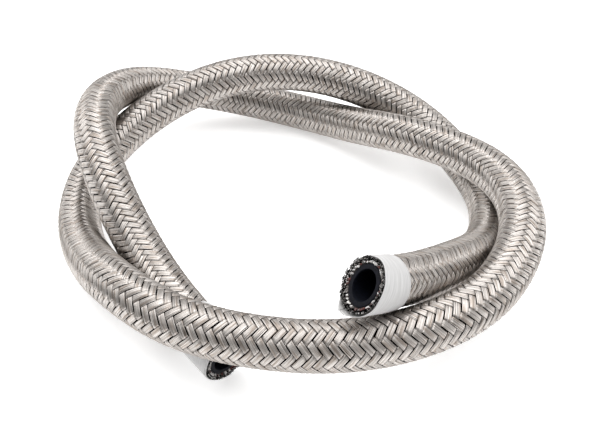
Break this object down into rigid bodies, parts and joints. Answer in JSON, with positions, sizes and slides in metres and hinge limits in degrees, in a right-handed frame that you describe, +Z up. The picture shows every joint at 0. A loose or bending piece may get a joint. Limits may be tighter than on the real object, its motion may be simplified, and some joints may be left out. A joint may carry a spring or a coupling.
{
  "type": "braided hose",
  "caption": "Length of rubber fuel hose in a woven stainless steel sleeve, looped into a loose wreath, with white tape round both cut ends.",
  "frame": {"origin": "on the surface that the hose lies on, under the middle of the wreath's box", "axes": "+Z up from the surface; +X along the wreath's longer side, the way the far taped end points; -Y the way the raised open end points"},
  "size_m": [0.1784, 0.154, 0.0425],
  "materials": {
    "stainless_wire_braid": "woven bands of fine stainless steel wire, satin, with dark gaps between the bands",
    "textile_yarn": "thin braid of pale and reddish-brown yarn, seen only at the cut ends",
    "black_rubber": "smooth matt black rubber",
    "white_tape": "thin off-white tape with fine lines round the hose"
  },
  "bodies": {
    "root": {"wire_braid": "stainless_wire_braid", "textile_braid": "textile_yarn", "liner_tube": "black_rubber", "end_tape_open": "white_tape", "end_tape_far": "white_tape"}
  },
  "joints": []
}
